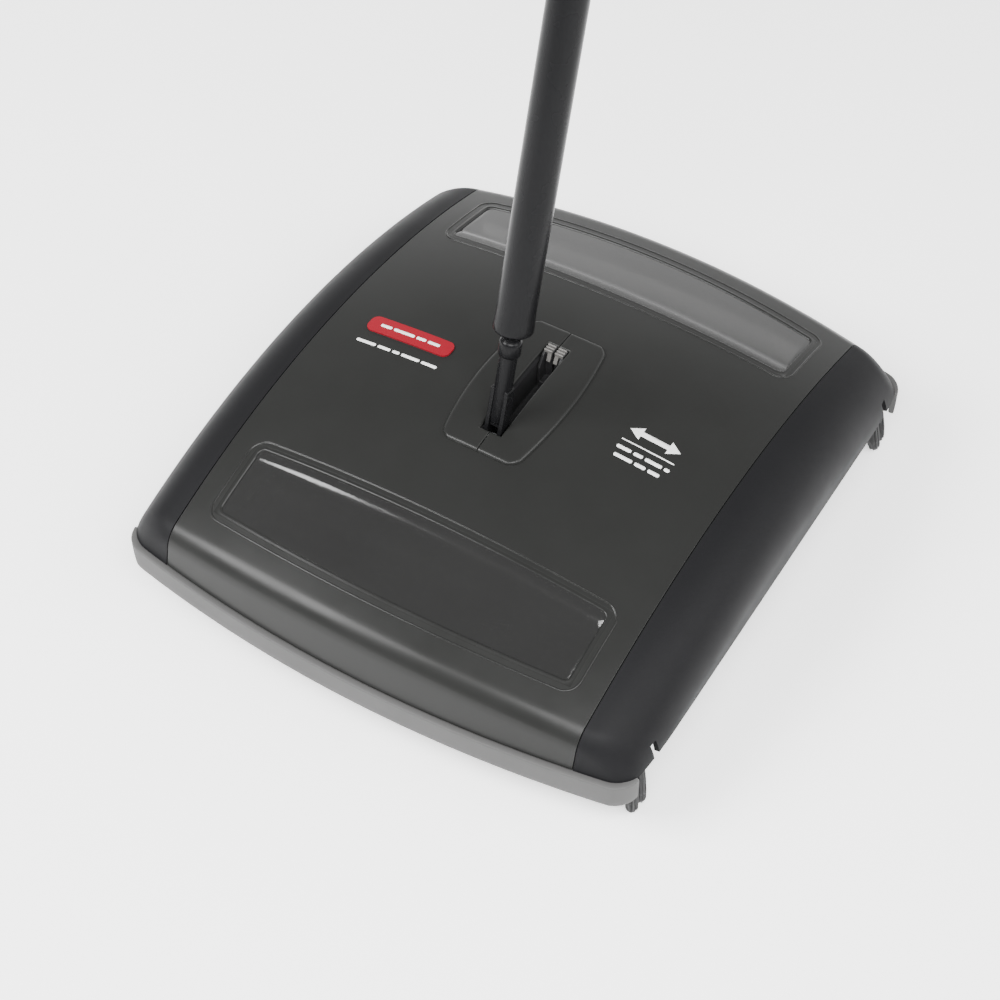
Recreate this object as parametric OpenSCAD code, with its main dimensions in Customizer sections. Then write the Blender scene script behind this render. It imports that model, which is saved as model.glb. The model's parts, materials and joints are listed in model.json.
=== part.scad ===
// Carpet sweeper: a hand-pushed, brushless floor sweeper with two dust pans and a long leaning handle.
// Millimetres, +Z up, +X to the right, -Y is the front. The origin is on the floor below the middle of the body.

/* [Body] */
// Half of the width of the body, over the side skirts
body_half_w = 120.6; // [118:0.2:124]
// Height of the highest point of the cover above the floor
body_top = 76.3; // [75:0.1:78]
// Radius of the arch of the cover, seen from the side
arch_r = 370; // [350:5:400]
// Radius of the crown of the cover, seen from the front
crown_r = 613; // [560:5:700]
// Radius of the rolled shoulder along each side
shoulder_r = 25; // [20:1:28]
// Half of the length of the cover at its foot, on the centre line
foot_half_l = 132.7; // [130:0.1:135]
// Radius of the bow of the front and rear edges, seen from above
bow_r = 600; // [540:10:700]
// How far the front face leans in over its full height
face_lean = 10.7; // [8:0.1:18]
// Height of the lower edge of the cover and of the side skirts
skirt_z = 32; // [30:0.1:36]
// Wall thickness of the mouldings
wall = 2.4; // [2:0.1:2.8]
// Distance from the middle to the seam between the cover and a side cap
seam_x = 96; // [95:0.1:97]

/* [Bumpers] */
// Height of the underside of a bumper
bumper_z = 19.2; // [18:0.1:22]
// Half of the length over the two bumpers
bumper_half_l = 135.5; // [134:0.1:137]

/* [Windows and panel] */
// Distance from the middle to the near edge of a window
window_in = 70; // [67:0.1:72]
// Distance from the middle to the far edge of a window, at its corners
window_out = 108.3; // [106:0.1:109]
// Half of the width of a window
window_half_w = 86.2; // [84:0.1:87]
// Half of the length of the middle panel
panel_half_l = 38; // [37:0.5:40]
// Half of the length of the handle slot
slot_half_l = 27.4; // [26.8:0.1:28]
// Half of the width of the handle slot
slot_half_w = 5; // [4.8:0.1:5.2]

/* [Handle] */
// Lean of the handle from upright, in degrees, as it stands in the part's rest pose
handle_lean = 15.84; // [12:0.1:20]
// Distance of the handle pivot in front of the middle
pivot_back = 24.2; // [24:0.1:25]
// Height of the handle pivot above the floor
pivot_z = 68; // [67.5:0.1:68.5]
// Diameter of the handle tubes
tube_d = 15; // [14.5:0.1:15.2]
// Distance from the pivot to the lower end of the sleeve
sleeve_start = 51.3; // [51:0.1:54]
// Length of the sleeve over the foot of the lower tube
sleeve_l = 190; // [120:5:220]
// Distance from the pivot to the shoulder of the end cap
handle_l = 1044; // [1000:4:1100]

/* [Running gear] */
// Radius of a wheel over its tyre
wheel_r = 20; // [19.8:0.1:20]
// Distance of a wheel axle from the middle, along the length
wheel_y = 31.2; // [31.2:0.1:32]
// Height of the rotor axle above the floor
rotor_z = 27; // [27:0.1:27.4]
// Radius of the rotor over the tips of its blades
rotor_r = 25.6; // [24:0.1:26]
// Radius of a drive roller
drive_r = 11.6; // [11:0.1:11.6]
// Number of blades on the rotor
blade_count = 6; // [4:1:8]
// Middle of a wheel, measured from the middle of the body
wheel_x = 102.5; // [102:0.1:103]

/* [Pans] */
// Half of the width of a dust pan
pan_half_w = 91; // [89:0.1:91.2]
// Distance of a pan hinge from the middle
hinge_y = 110.5; // [110.3:0.1:110.8]
// Height of a pan hinge above the floor
hinge_z = 18.5; // [18:0.1:19.5]
// Height of the underside of a pan
pan_z = 11; // [10:0.1:13]

/* [Hidden] */
$fn = 64;
plate_x = 93.2;
plate_t = 1.2;
axle_d = 5;
rod_d = 4;
fit = 0.05;
face_lean_h = body_top - skirt_z;
bumper_top = skirt_z;
corner_r = 12;
tuft_x = 112.6;
tuft_y = 103.3;
corner_y = 122;
screw_y = 58;
pin_d = 5;
hole_d = 7;
plate_out = plate_x + plate_t;

// ---------------------------------------------------------------- shared outlines

// Height of the crown below the highest point, at a distance x from the middle.
function crown_drop(x, out) = (crown_r + out) - sqrt(pow(crown_r + out, 2) - x * x);

// Turns a quadrant model into its copy at the other end (front to rear).
module to_rear() { mirror([0, 1, 0]) children(); }
module to_left() { mirror([1, 0, 0]) children(); }

// Profile of the barrel in x and radius: a crowned top with rolled shoulders.
// inset moves the whole outline inwards by that much.
module barrel_profile(inset) {
    r = shoulder_r - inset;
    cx = body_half_w - shoulder_r;
    cr = arch_r - crown_drop(cx + shoulder_r * 0.35, 0) - shoulder_r;
    crown_n = 8;
    roll_n = 5;
    lim = cx + r * sin(8);
    crown = [for (i = [0:crown_n]) let (x = -lim + 2 * lim * i / crown_n)
        [x, arch_r - crown_drop(x, 0) - inset]];
    right = [for (i = [1:roll_n]) let (a = 8 + 82 * i / roll_n)
        [cx + r * sin(a), cr + r * cos(a)]];
    left = [for (i = [roll_n:-1:1]) let (a = 8 + 82 * i / roll_n)
        [-cx - r * sin(a), cr + r * cos(a)]];
    polygon(concat(left, crown, right, [[cx + r, 200], [-cx - r, 200]]));
}

// Solid under the arched, crowned and shouldered surface.
module barrel(inset) {
    translate([0, 0, body_top - arch_r])
        rotate([0, 90, 0])
            rotate_extrude($fn = 180)
                rotate([0, 0, 90])
                    mirror([0, 1, 0])
                        barrel_profile(inset);
}

// Plan of the body with bowed ends that lean inwards towards the top.
module bowed_block(inset, low, high) {
    lean = face_lean / face_lean_h;
    foot_r = bow_r - inset;
    h = high - low;
    intersection() {
        for_end(foot_r, low, h, lean);
        mirror([0, 1, 0]) for_end(foot_r, low, h, lean);
    }
}

// One bowed end: a cone whose axis is upright.
module for_end(foot_r, low, h, lean) {
    r_low = foot_r - (low - skirt_z) * lean;
    translate([0, bow_r - foot_half_l, low])
        cylinder(h = h, r1 = r_low, r2 = r_low - h * lean, $fn = 180);
}

// The outside of the whole cover, side to side, less an even inset.
module shell_solid(inset, low) {
    intersection() {
        barrel(inset);
        bowed_block(inset, low, body_top + 5);
        corner_trim(inset, low);
    }
}

// Rounded plan corners.
module corner_trim(inset, low) {
    w = body_half_w - inset;
    r = corner_r - inset;
    l = corner_y - inset;
    translate([0, 0, low - 1])
        linear_extrude(body_top - low + 10)
            union() {
                square([2 * (w - r), 2 * (l + 20)], center = true);
                square([2 * w, 2 * (l - r)], center = true);
                for (sx = [-1, 1], sy = [-1, 1])
                    translate([sx * (w - r), sy * (l - r)])
                        circle(r, $fn = 64);
            }
}

// Block that covers a range of x, for cutting the shell into cover and caps.
module slice(x0, x1) {
    translate([x0, -200, 0])
        cube([x1 - x0, 400, 120]);
}

// Outline of the front window, grown by an allowance all round.
module window_outline(grow) {
    r = 6 + grow;
    near = -(window_in - grow);
    far = window_out + grow;
    half = window_half_w + grow;
    bow = 640;
    difference() {
        union() {
            translate([-half, -far - 12])
                square([2 * half, far + 12 + near]);
        }
        translate([-half - 1, -far - 20])
            square([r + 1, 20 + r]);
        translate([half - r, -far - 20])
            square([r + 1, 20 + r]);
        translate([-half - 1, near - r])
            square([r + 1, r + 1]);
        translate([half - r, near - r])
            square([r + 1, r + 1]);
        difference() {
            translate([-half, -far - 20])
                square([2 * half, 20 + 12]);
            translate([0, bow - far - 5.9])
                circle(bow, $fn = 180);
        }
    }
    for (s = [-1, 1]) {
        translate([s * (half - r), near - r])
            circle(r, $fn = 32);
        translate([s * (half - r), -far + r - 0.6])
            circle(r, $fn = 32);
    }
}

// Outline of the middle panel with its barrel shape in plan.
module panel_outline(grow) {
    intersection() {
        square([60, 2 * (panel_half_l + grow)], center = true);
        translate([-155, 0]) circle(176.8 + grow, $fn = 128);
        translate([155, 0]) circle(176.8 + grow, $fn = 128);
    }
}

// Outline of the handle slot.
module slot_outline(grow) {
    square([2 * (slot_half_w + grow), 2 * (slot_half_l + grow)], center = true);
}

// Straight column through the cover.
module column(low, high) {
    translate([0, 0, low])
        linear_extrude(high - low)
            children();
}

// A round bar along X between two x values.
module bar_x(x0, x1, d) {
    translate([x0, 0, 0])
        rotate([0, 90, 0])
            cylinder(h = x1 - x0, d = d);
}

// ---------------------------------------------------------------- cover and caps

// Top cover between the two seams, open below, with two window openings and the panel opening.
module top_cover() {
    color([0.2, 0.2, 0.21])
        difference() {
            union() {
                intersection() {
                    difference() {
                        shell_solid(0, skirt_z);
                        shell_solid(wall, skirt_z - 1);
                    }
                    slice(-seam_x + 0.15, seam_x - 0.15);
                }
                intersection() {
                    for (sx = [-1, 1], sy = [-1, 1])
                        translate([sx * (plate_x - 5), sy * screw_y, 53.6])
                            cylinder(h = 20, d = 7);
                    barrel(0.5);
                }
            }
            column(40, 90) window_outline(0);
            to_rear() column(40, 90) window_outline(0);
            column(50, 90) panel_outline(-2.5);
            for (sx = [-1, 1], sy = [-1, 1])
                translate([sx * (plate_x - 5), sy * screw_y, 50])
                    cylinder(h = 12, d = 3.4);
        }
}

// One side cap with its inner flange along the seam, on the right.
module cap_right() {
    difference() {
        intersection() {
            difference() {
                shell_solid(0, skirt_z);
                intersection() {
                    shell_solid(wall, skirt_z - 1);
                    slice(seam_x + 0.15 + 1.2, 130);
                }
            }
            slice(seam_x + 0.15, 130);
        }
        // two thin notches near the corners, and the way for the wheels and the rotor roller
        for (s = [-1, 1])
            translate([115, s * 102.2 - 1.8, skirt_z - 1])
                cube([12, 3.6, 8]);
        translate([seam_x - 1, -60, skirt_z - 2])
            cube([4, 120, 12.6]);
    }
}

module right_side_cap() {
    color([0.13, 0.13, 0.14]) cap_right();
}
module left_side_cap() {
    color([0.13, 0.13, 0.14]) to_left() cap_right();
}

// ---------------------------------------------------------------- bumpers

// Plan of the bumper's outer edge at the front.
module bumper_outline(inset) {
    r = 14 - inset;
    difference() {
        intersection() {
            translate([0, bow_r - bumper_half_l])
                circle(bow_r - inset, $fn = 180);
            translate([-119.4 + inset, -150])
                square([238.8 - 2 * inset, 34]);
        }
        for (s = [-1, 1])
            corner_bite(s, r, inset);
    }
}

// Removes the sharp outer corner outside a rounding.
module corner_bite(s, r, inset) {
    cx = 119.4 - inset - r;
    cy = -(126.4 - inset - r);
    difference() {
        translate([s > 0 ? cx : -cx - r - 2, cy - r - 6])
            square([r + 2, r + 6]);
        translate([s * cx, cy])
            circle(r, $fn = 64);
    }
}

// Front bumper: an outer wall with a ledge on top, open below.
module bumper() {
    difference() {
        column(bumper_z, bumper_top) bumper_outline(0);
        column(bumper_z - 1, bumper_top - 2.4) bumper_outline(2.6);
        column(bumper_z - 1, bumper_top + 1)
            intersection() {
                bumper_outline(8.5);
                translate([-103, -150])
                    square([206, 60]);
            }
    }
}

module front_bumper() {
    color([0.5, 0.5, 0.5]) bumper();
}
module rear_bumper() {
    color([0.5, 0.5, 0.5]) to_rear() bumper();
}

// ---------------------------------------------------------------- windows

// Window bezel: it stands a little proud of the cover and lines the opening.
module window_rim() {
    intersection() {
        difference() {
            barrel(-1);
            barrel(wall);
        }
        column(40, 90)
            difference() {
                window_outline(-0.1);
                window_outline(-3.6);
            }
    }
}

// Clear window inside the bezel, just below the surface of the cover.
module window_pane() {
    intersection() {
        difference() {
            barrel(0.4);
            barrel(wall);
        }
        column(40, 90) window_outline(-3.6);
    }
}

module front_window_rim() {
    color([0.12, 0.12, 0.13]) window_rim();
}
module rear_window_rim() {
    color([0.12, 0.12, 0.13]) to_rear() window_rim();
}
module front_window() {
    color([0.4, 0.42, 0.44, 0.5]) window_pane();
}
module rear_window() {
    color([0.4, 0.42, 0.44, 0.5]) to_rear() window_pane();
}

// ---------------------------------------------------------------- middle panel, catch and pivot

// Half of the middle panel on one side of the slot.
module panel_half() {
    difference() {
        intersection() {
            difference() {
                barrel(-1.6);
                barrel(0);
            }
            column(50, 90) panel_outline(0);
            translate([0.1, -60, 50]) cube([60, 120, 50]);
        }
        column(50, 90) slot_outline(0);
    }
    // skirt that drops through the cover's opening
    difference() {
        intersection() {
            difference() {
                barrel(0);
                barrel(wall + 1);
            }
            column(50, 90) panel_outline(-2.6);
            translate([0.1, -60, 50]) cube([60, 120, 50]);
        }
        column(50, 90) slot_outline(0);
    }
}

module right_pivot_panel() {
    color([0.22, 0.22, 0.23]) panel_half();
}
module left_pivot_panel() {
    color([0.22, 0.22, 0.23]) to_left() panel_half();
}

// Pair of ribbed fingers at the rear end of the slot; the folded handle's neck snaps between them.
module catch_finger() {
    translate([0.5, 23.6, 62])
        cube([4.3, 3.5, 14.1]);
    for (i = [0:2])
        translate([0.5, 23.7 + i * 1.25, 76])
            cube([4.3, 0.8, 1.1]);
    // cheek that runs forward along the side of the slot
    translate([3.9, 17.5, 62])
        cube([0.9, 6.2, 13.2]);
}
module handle_catch() {
    color([0.62, 0.62, 0.62])
        union() {
            catch_finger();
            to_left() catch_finger();
            translate([-4.8, 17.5, 59])
                cube([9.6, 9.6, 3.2]);
        }
}

// Box below the slot that carries the pivot pin.
module pivot_well() {
    color([0.3, 0.3, 0.32])
        intersection() {
            difference() {
                union() {
                    translate([-7.4, -32, 57])
                        cube([14.8, 62.5, 20]);
                    translate([-30, -4, 57])
                        cube([60, 8, 3]);
                }
                translate([-5.2, -30, 59])
                    cube([10.4, 58.5, 30]);
                translate([0, -pivot_back, pivot_z])
                    bar_x(-10, 10, pin_d);
            }
            barrel(wall + 1.1);
        }
    // posts that reach up to the underside of the cover
    color([0.3, 0.3, 0.32])
        intersection() {
            for (s = [-1, 1])
                translate([s * 27, 0, 60])
                    cylinder(h = 20, d = 6);
            barrel(wall + 0.1);
        }
}

module handle_pivot_pin() {
    color([0.75, 0.75, 0.77])
        translate([0, -pivot_back, pivot_z])
            bar_x(-8.4, 8.4, pin_d);
}

// ---------------------------------------------------------------- frame

// Steel side plate with holes for the rotor, the axles and the pan hinges.
module side_plate() {
    translate([plate_x, 0, 0])
        rotate([90, 0, 90])
            linear_extrude(plate_t)
                difference() {
                    polygon([[-117.4, 13], [-60, 10], [60, 10], [117.4, 13], [117.4, 34], [112, 46],
                        [80, 55], [40, 60], [-40, 60], [-80, 55], [-112, 46], [-117.4, 34]]);
                    translate([0, rotor_z]) circle(d = 9);
                    for (s = [-1, 1]) {
                        translate([s * wheel_y, wheel_r]) circle(d = axle_d);
                        translate([s * hinge_y, hinge_z]) circle(d = rod_d);
                    }
                }
    // bent feet that take the cover screws
    for (s = [-1, 1])
        translate([plate_x - 9, s * screw_y - 6, 52.4])
            difference() {
                cube([9, 12, 1.2]);
                translate([4, 6, -1]) cylinder(h = 4, d = 3.4);
            }
}
module right_side_plate() {
    color([0.6, 0.61, 0.63]) side_plate();
}
module left_side_plate() {
    color([0.6, 0.61, 0.63]) to_left() side_plate();
}

// Flanged bushes that carry the rotor shaft.
module rotor_bush() {
    translate([0, 0, rotor_z])
        difference() {
            union() {
                bar_x(plate_x, plate_out, 9);
                bar_x(plate_x - 1.2, plate_x, 13);
            }
            bar_x(plate_x - 3, plate_out + 3, 5 + 2 * fit);
        }
}
module rotor_bushes() {
    color([0.9, 0.88, 0.8]) {
        rotor_bush();
        to_left() rotor_bush();
    }
}

// Stub axles riveted into the side plates.
module stub_axle() {
    translate([0, wheel_y, wheel_r]) {
        bar_x(plate_x, wheel_x + 6.9, axle_d);
        bar_x(plate_x - 1.2, plate_x, 9);
        bar_x(plate_out, plate_out + 1.2, 9);
    }
}
module wheel_axles() {
    color([0.7, 0.71, 0.73]) {
        stub_axle();
        to_rear() stub_axle();
        to_left() stub_axle();
        to_left() to_rear() stub_axle();
    }
}

// Push-on clips that keep the wheels on their axles.
module axle_clip() {
    translate([0, wheel_y, wheel_r])
        difference() {
            bar_x(wheel_x + 5.2, wheel_x + 6.2, 10);
            bar_x(wheel_x, wheel_x + 12, axle_d);
        }
}
module axle_clips() {
    color([0.75, 0.75, 0.77]) {
        axle_clip();
        to_rear() axle_clip();
        to_left() axle_clip();
        to_left() to_rear() axle_clip();
    }
}

// Hinge rods tie the side plates together and carry the pans.
module hinge_rod() {
    translate([0, -hinge_y, hinge_z]) {
        bar_x(-plate_out - 1.4, plate_out + 1.4, rod_d);
    }
}
module front_hinge_rod() {
    color([0.7, 0.71, 0.73]) hinge_rod();
}
module rear_hinge_rod() {
    color([0.7, 0.71, 0.73]) to_rear() hinge_rod();
}

// Coil springs round the hinge rods, which hold the pans shut.
module pan_spring() {
    translate([84.2, -hinge_y, hinge_z])
        rotate([0, 90, 0])
            difference() {
                cylinder(h = 4.6, d = 6.2);
                translate([0, 0, -1]) cylinder(h = 7, d = rod_d + 0.8);
            }
}
module pan_springs() {
    color([0.7, 0.7, 0.72]) {
        pan_spring();
        to_rear() pan_spring();
        to_left() pan_spring();
        to_left() to_rear() pan_spring();
    }
}

// Screws that hold the cover's feet.
module cover_screw() {
    translate([plate_x - 5, screw_y, 0]) {
        translate([0, 0, 49.8]) cylinder(h = 2.6, d = 6);
        translate([0, 0, 52.4]) cylinder(h = 8.6, d = 3.4);
    }
}
module cover_screws() {
    color([0.75, 0.75, 0.77]) {
        cover_screw();
        to_rear() cover_screw();
        to_left() cover_screw();
        to_left() to_rear() cover_screw();
    }
}

// Plain badge on the cover, left of the panel.
module badge() {
    color([0.7, 0.1, 0.1])
        intersection() {
            difference() {
                barrel(-0.8);
                barrel(0);
            }
            column(50, 90)
                union() {
                    translate([-76.4, -1.6]) square([37, 8.8]);
                    translate([-78.4, 0.4]) square([41, 4.8]);
                    for (x = [-76.4, -39.4], y = [0.4, 5.2])
                        translate([x, y]) circle(2, $fn = 32);
                }
        }
}

// ---------------------------------------------------------------- corner brushes

// Holder block that is fixed inside a cap corner.
module brush_holder() {
    difference() {
        union() {
            // block and a web out towards the cap's wall, both kept inside the shell
            intersection() {
                union() {
                    translate([104.9, 99.4, 29]) cube([10.7, 14, 7]);
                    translate([110, 105.6, 29]) cube([12, 6, 7]);
                }
                shell_solid(wall + 0.4, 28);
            }
        }
        for (i = [0, 1])
            translate([tuft_x, tuft_y + i * 6, 28]) cylinder(h = 6, d = 5);
    }
}
module brush_holders() {
    color([0.16, 0.16, 0.17]) {
        brush_holder();
        to_rear() brush_holder();
        to_left() brush_holder();
        to_left() to_rear() brush_holder();
    }
}

// Two splayed tufts at one corner.
module tufts() {
    for (i = [0, 1])
        translate([tuft_x, tuft_y + i * 6, 0]) {
            translate([0, 0, 28.6]) cylinder(h = 5.4, d = 4.9);
            translate([0, 0, 28.9])
                rotate([7, i - 8, 0])
                    mirror([0, 0, 1])
                        cylinder(h = 26.2, d1 = 4.6, d2 = 6.6);
        }
}
module rear_right_tufts() {
    color([0.1, 0.1, 0.1]) tufts();
}
module rear_left_tufts() {
    color([0.1, 0.1, 0.1]) to_left() tufts();
}
module front_right_tufts() {
    color([0.1, 0.1, 0.1]) to_rear() tufts();
}
module front_left_tufts() {
    color([0.1, 0.1, 0.1]) to_left() to_rear() tufts();
}

// ---------------------------------------------------------------- handle

// Puts the children, drawn along +Z from the pivot, on the leaning handle.
module on_handle() {
    translate([0, -pivot_back, pivot_z])
        rotate([-handle_lean, 0, 0])
            children();
}

// A tube section along the handle.
module pipe(s0, s1, outer, inner) {
    translate([0, 0, s0])
        difference() {
            cylinder(h = s1 - s0, d = outer);
            translate([0, 0, -1]) cylinder(h = s1 - s0 + 2, d = inner);
        }
}

third = (handle_l - sleeve_start - 20) / 3;
tube_low = sleeve_start + 5;
tube_mid = tube_low + third;
tube_high = tube_mid + third;
tube_inner = tube_d - 2;

// Yoke: an eye round the pivot pin, a stem, and a spigot inside the sleeve.
module handle_yoke() {
    color([0.14, 0.14, 0.15])
        on_handle()
            difference() {
                union() {
                    bar_x(-4.2, 4.2, 9);
                    translate([-4.1, -2.8, 0]) cube([8.2, 6, 26]);
                    translate([0, 0, 10]) cylinder(h = 42, d = 7.4);
                    translate([0, 0, sleeve_start - 1.4]) cylinder(h = 70, d = tube_inner - 0.4);
                }
                bar_x(-6, 6, pin_d + 2 * fit);
                translate([-1, -6, 6.2]) cube([2, 12, 17]);
            }
}

module handle_collar() {
    color([0.2, 0.2, 0.21])
        on_handle()
            pipe(42, 48.8, 9.4, 7.4);
}

module handle_sleeve() {
    color([0.1, 0.1, 0.11])
        on_handle()
            difference() {
                union() {
                    translate([0, 0, sleeve_start]) cylinder(h = sleeve_l, d = tube_d + 1);
                    translate([0, 0, sleeve_start]) cylinder(h = 3, d = tube_d + 1.8);
                }
                translate([0, 0, sleeve_start - 1]) cylinder(h = 4, d = tube_inner - 0.4);
                translate([0, 0, sleeve_start + 3]) cylinder(h = sleeve_l, d = tube_d);
            }
}

module lower_tube() {
    color([0.1, 0.1, 0.11])
        on_handle() pipe(tube_low, tube_mid - 0.4, tube_d, tube_inner);
}
module middle_tube() {
    color([0.1, 0.1, 0.11])
        on_handle() pipe(tube_mid + 0.4, tube_high - 0.4, tube_d, tube_inner);
}
module upper_tube() {
    color([0.1, 0.1, 0.11])
        on_handle() pipe(tube_high + 0.4, handle_l - 16, tube_d, tube_inner);
}

// A joiner: a spigot inside two tubes with a thin collar between their ends.
module joiner(s) {
    on_handle() {
        translate([0, 0, s - 35]) cylinder(h = 70, d = tube_inner);
        translate([0, 0, s - 0.4]) cylinder(h = 0.8, d = tube_d + 1);
    }
}
module lower_joiner() {
    color([0.3, 0.3, 0.31]) joiner(tube_mid);
}
module upper_joiner() {
    color([0.3, 0.3, 0.31]) joiner(tube_high);
}

// Soft grip over the top tube.
module hand_grip() {
    color([0.08, 0.08, 0.08])
        on_handle()
            difference() {
                union() {
                    translate([0, 0, handle_l - 150]) cylinder(h = 134, d = 24);
                    translate([0, 0, handle_l - 153]) cylinder(h = 3, d = 26);
                }
                translate([0, 0, handle_l - 160]) cylinder(h = 200, d = tube_d);
            }
}

// End cap with the hanging hole.
module hang_cap() {
    color([0.14, 0.14, 0.15])
        on_handle()
            difference() {
                union() {
                    translate([0, 0, handle_l - 15.9]) cylinder(h = 2.4, d = 25);
                    translate([-4, -10, handle_l - 14]) cube([8, 20, 10]);
                    translate([0, 0, handle_l - 4]) bar_x(-4, 4, 20);
                    translate([0, 0, handle_l - 40]) cylinder(h = 26, d = tube_inner);
                }
                translate([0, 0, handle_l - 4]) bar_x(-10, 10, hole_d);
            }
}

// ---------------------------------------------------------------- rotor

module rotor_shaft() {
    color([0.7, 0.71, 0.73])
        translate([0, 0, rotor_z]) bar_x(-109, 109, 5);
}

// Plastic core on the shaft with a slot for each blade.
module rotor_core() {
    color([0.25, 0.25, 0.27])
        translate([0, 0, rotor_z])
            difference() {
                bar_x(-plate_x + 2.2, plate_x - 2.2, 20);
                bar_x(-120, 120, 5);
                for (i = [0:blade_count - 1])
                    rotate([360 / blade_count * i, 0, 0])
                        translate([-120, -1, 6]) cube([240, 2, 10]);
            }
}

// Rubber blades that flick the dirt into the pans.
module rotor_blades() {
    color([0.15, 0.15, 0.16])
        translate([0, 0, rotor_z])
            for (i = [0:blade_count - 1])
                rotate([360 / blade_count * i, 0, 0])
                    translate([-plate_x + 2.6, -1, 6])
                        cube([2 * plate_x - 5.2, 2, rotor_r - 6]);
}

// Rubber roller on each end of the shaft, turned by the wheels.
module drive_roller() {
    translate([0, 0, rotor_z])
        difference() {
            bar_x(wheel_x - 5, wheel_x + 5, 2 * drive_r);
            bar_x(wheel_x - 8, wheel_x + 8, 5);
        }
}
module right_drive_roller() {
    color([0.12, 0.12, 0.12]) drive_roller();
}
module left_drive_roller() {
    color([0.12, 0.12, 0.12]) to_left() drive_roller();
}

// ---------------------------------------------------------------- wheels

// Hub with its bore, on the rear right.
module hub() {
    translate([0, wheel_y, wheel_r])
        difference() {
            union() {
                bar_x(wheel_x - 5, wheel_x + 5, 10);
                bar_x(wheel_x - 1.5, wheel_x + 1.5, 32);
                difference() {
                    bar_x(wheel_x - 4.5, wheel_x + 4.5, 32);
                    bar_x(wheel_x - 6, wheel_x + 6, 27);
                }
            }
            bar_x(wheel_x - 8, wheel_x + 8, axle_d + 2 * fit);
        }
}

// Tyre pressed over the hub.
module tyre() {
    translate([0, wheel_y, wheel_r])
        difference() {
            bar_x(wheel_x - 4.5, wheel_x + 4.5, 2 * wheel_r);
            bar_x(wheel_x - 8, wheel_x + 8, 32);
        }
}
module rear_right_hub() {
    color([0.3, 0.3, 0.32]) hub();
}
module rear_right_tyre() {
    color([0.08, 0.08, 0.08]) tyre();
}
module rear_left_hub() {
    color([0.3, 0.3, 0.32]) to_left() hub();
}
module rear_left_tyre() {
    color([0.08, 0.08, 0.08]) to_left() tyre();
}
module front_right_hub() {
    color([0.3, 0.3, 0.32]) to_rear() hub();
}
module front_right_tyre() {
    color([0.08, 0.08, 0.08]) to_rear() tyre();
}
module front_left_hub() {
    color([0.3, 0.3, 0.32]) to_left() to_rear() hub();
}
module front_left_tyre() {
    color([0.08, 0.08, 0.08]) to_left() to_rear() tyre();
}

// ---------------------------------------------------------------- pans

// Side outline of the front pan's floor, from the hinge wall to the lip, in y and z.
module pan_section() {
    t = 1.8;
    polygon([[-115.5, 22], [-115.5, 13.6], [-112.8, pan_z], [-46, pan_z], [-32.5, 13.2],
        [-28.6, 20.6], [-30.4, 21.4], [-34, 14.8], [-46.4, pan_z + t], [-112, pan_z + t],
        [-113.7, 14.4], [-113.7, 22]]);
}

// Filled side outline for the end walls.
module pan_end() {
    polygon([[-115.5, 22], [-115.5, 13.6], [-112.8, pan_z], [-46, pan_z], [-32.5, 13.2],
        [-28.6, 20.6], [-40, 26], [-104, 26], [-108, 22.6]]);
}

// Dust pan with two hinge barrels and two ribbed thumb marks, at the front.
module pan() {
    w = pan_half_w;
    difference() {
        union() {
            translate([-w, 0, 0])
                rotate([90, 0, 90])
                    linear_extrude(2 * w) pan_section();
            for (x = [-w, w - 1.8])
                translate([x, 0, 0])
                    rotate([90, 0, 90])
                        linear_extrude(1.8) pan_end();
            for (s = [-1, 1]) {
                translate([s * 77.5, -hinge_y, hinge_z]) bar_x(-5, 5, 7);
            }
            for (s = [-1, 1], i = [0:2])
                translate([s * 27.5 - 5.8, -72.2 + i * 2.8, pan_z + 1])
                    cube([11.6, 1.5, 2.4]);
        }
        translate([0, -hinge_y, hinge_z]) bar_x(-w - 5, w + 5, rod_d + 2 * fit);
    }
}
module front_pan() {
    color([0.32, 0.32, 0.34]) pan();
}
module rear_pan() {
    color([0.32, 0.32, 0.34]) to_rear() pan();
}

// Soft lip along the inner edge of a pan.
module pan_lip() {
    translate([-pan_half_w + 0.5, 0, 0])
        rotate([90, 0, 90])
            linear_extrude(2 * pan_half_w - 1)
                polygon([[-47, pan_z], [-47, pan_z - 1.4], [-32, 6.6], [-31.4, 7.8],
                    [-39.6, pan_z - 0.6], [-45.9, pan_z]]);
}
module front_pan_lip() {
    color([0.1, 0.1, 0.1]) pan_lip();
}
module rear_pan_lip() {
    color([0.1, 0.1, 0.1]) to_rear() pan_lip();
}

// ---------------------------------------------------------------- the part

top_cover();
left_side_cap();
right_side_cap();
front_bumper();
rear_bumper();
front_window_rim();
rear_window_rim();
front_window();
rear_window();
left_pivot_panel();
right_pivot_panel();
handle_catch();
pivot_well();
handle_pivot_pin();
left_side_plate();
right_side_plate();
rotor_bushes();
wheel_axles();
axle_clips();
front_hinge_rod();
rear_hinge_rod();
pan_springs();
cover_screws();
badge();
brush_holders();
front_left_tufts();
front_right_tufts();
rear_left_tufts();
rear_right_tufts();
handle_yoke();
handle_collar();
handle_sleeve();
lower_tube();
lower_joiner();
middle_tube();
upper_joiner();
upper_tube();
hand_grip();
hang_cap();
rotor_shaft();
rotor_core();
rotor_blades();
left_drive_roller();
right_drive_roller();
front_left_hub();
front_left_tyre();
front_right_hub();
front_right_tyre();
rear_left_hub();
rear_left_tyre();
rear_right_hub();
rear_right_tyre();
front_pan();
front_pan_lip();
rear_pan();
rear_pan_lip();
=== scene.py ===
"""Looks of the carpet sweeper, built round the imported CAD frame.

Lengths are in millimetres until a mesh is made.
"""
import json
import math
import random

import bmesh
import bpy
import numpy as np
from mathutils import Matrix, Vector


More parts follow.
